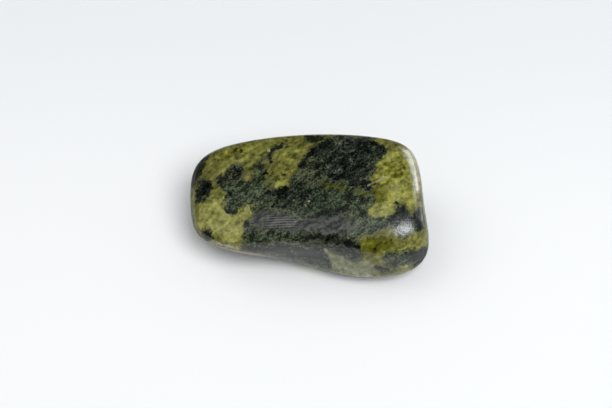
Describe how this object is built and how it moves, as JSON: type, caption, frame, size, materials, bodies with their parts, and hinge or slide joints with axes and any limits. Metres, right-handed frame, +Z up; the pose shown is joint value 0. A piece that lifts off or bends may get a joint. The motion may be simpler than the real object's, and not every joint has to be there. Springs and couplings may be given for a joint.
{
  "type": "tumbled serpentine stone",
  "caption": "Polished tumbled serpentine pebble, mottled olive green and green-black, with a broad domed top, a blunt right end, a lower left end and a small flat spot to rest on.",
  "frame": {"origin": "middle of the stone's bounding box in plan, at the level it rests on", "axes": "+X along the stone's length towards its thick blunt end, +Y towards the back, +Z up; the front looks along -Y"},
  "size_m": [0.0358, 0.0196, 0.013],
  "materials": {
    "serpentine": "tumbled polish"
  },
  "bodies": {
    "root": {"serpentine_stone": "serpentine"}
  },
  "joints": []
}
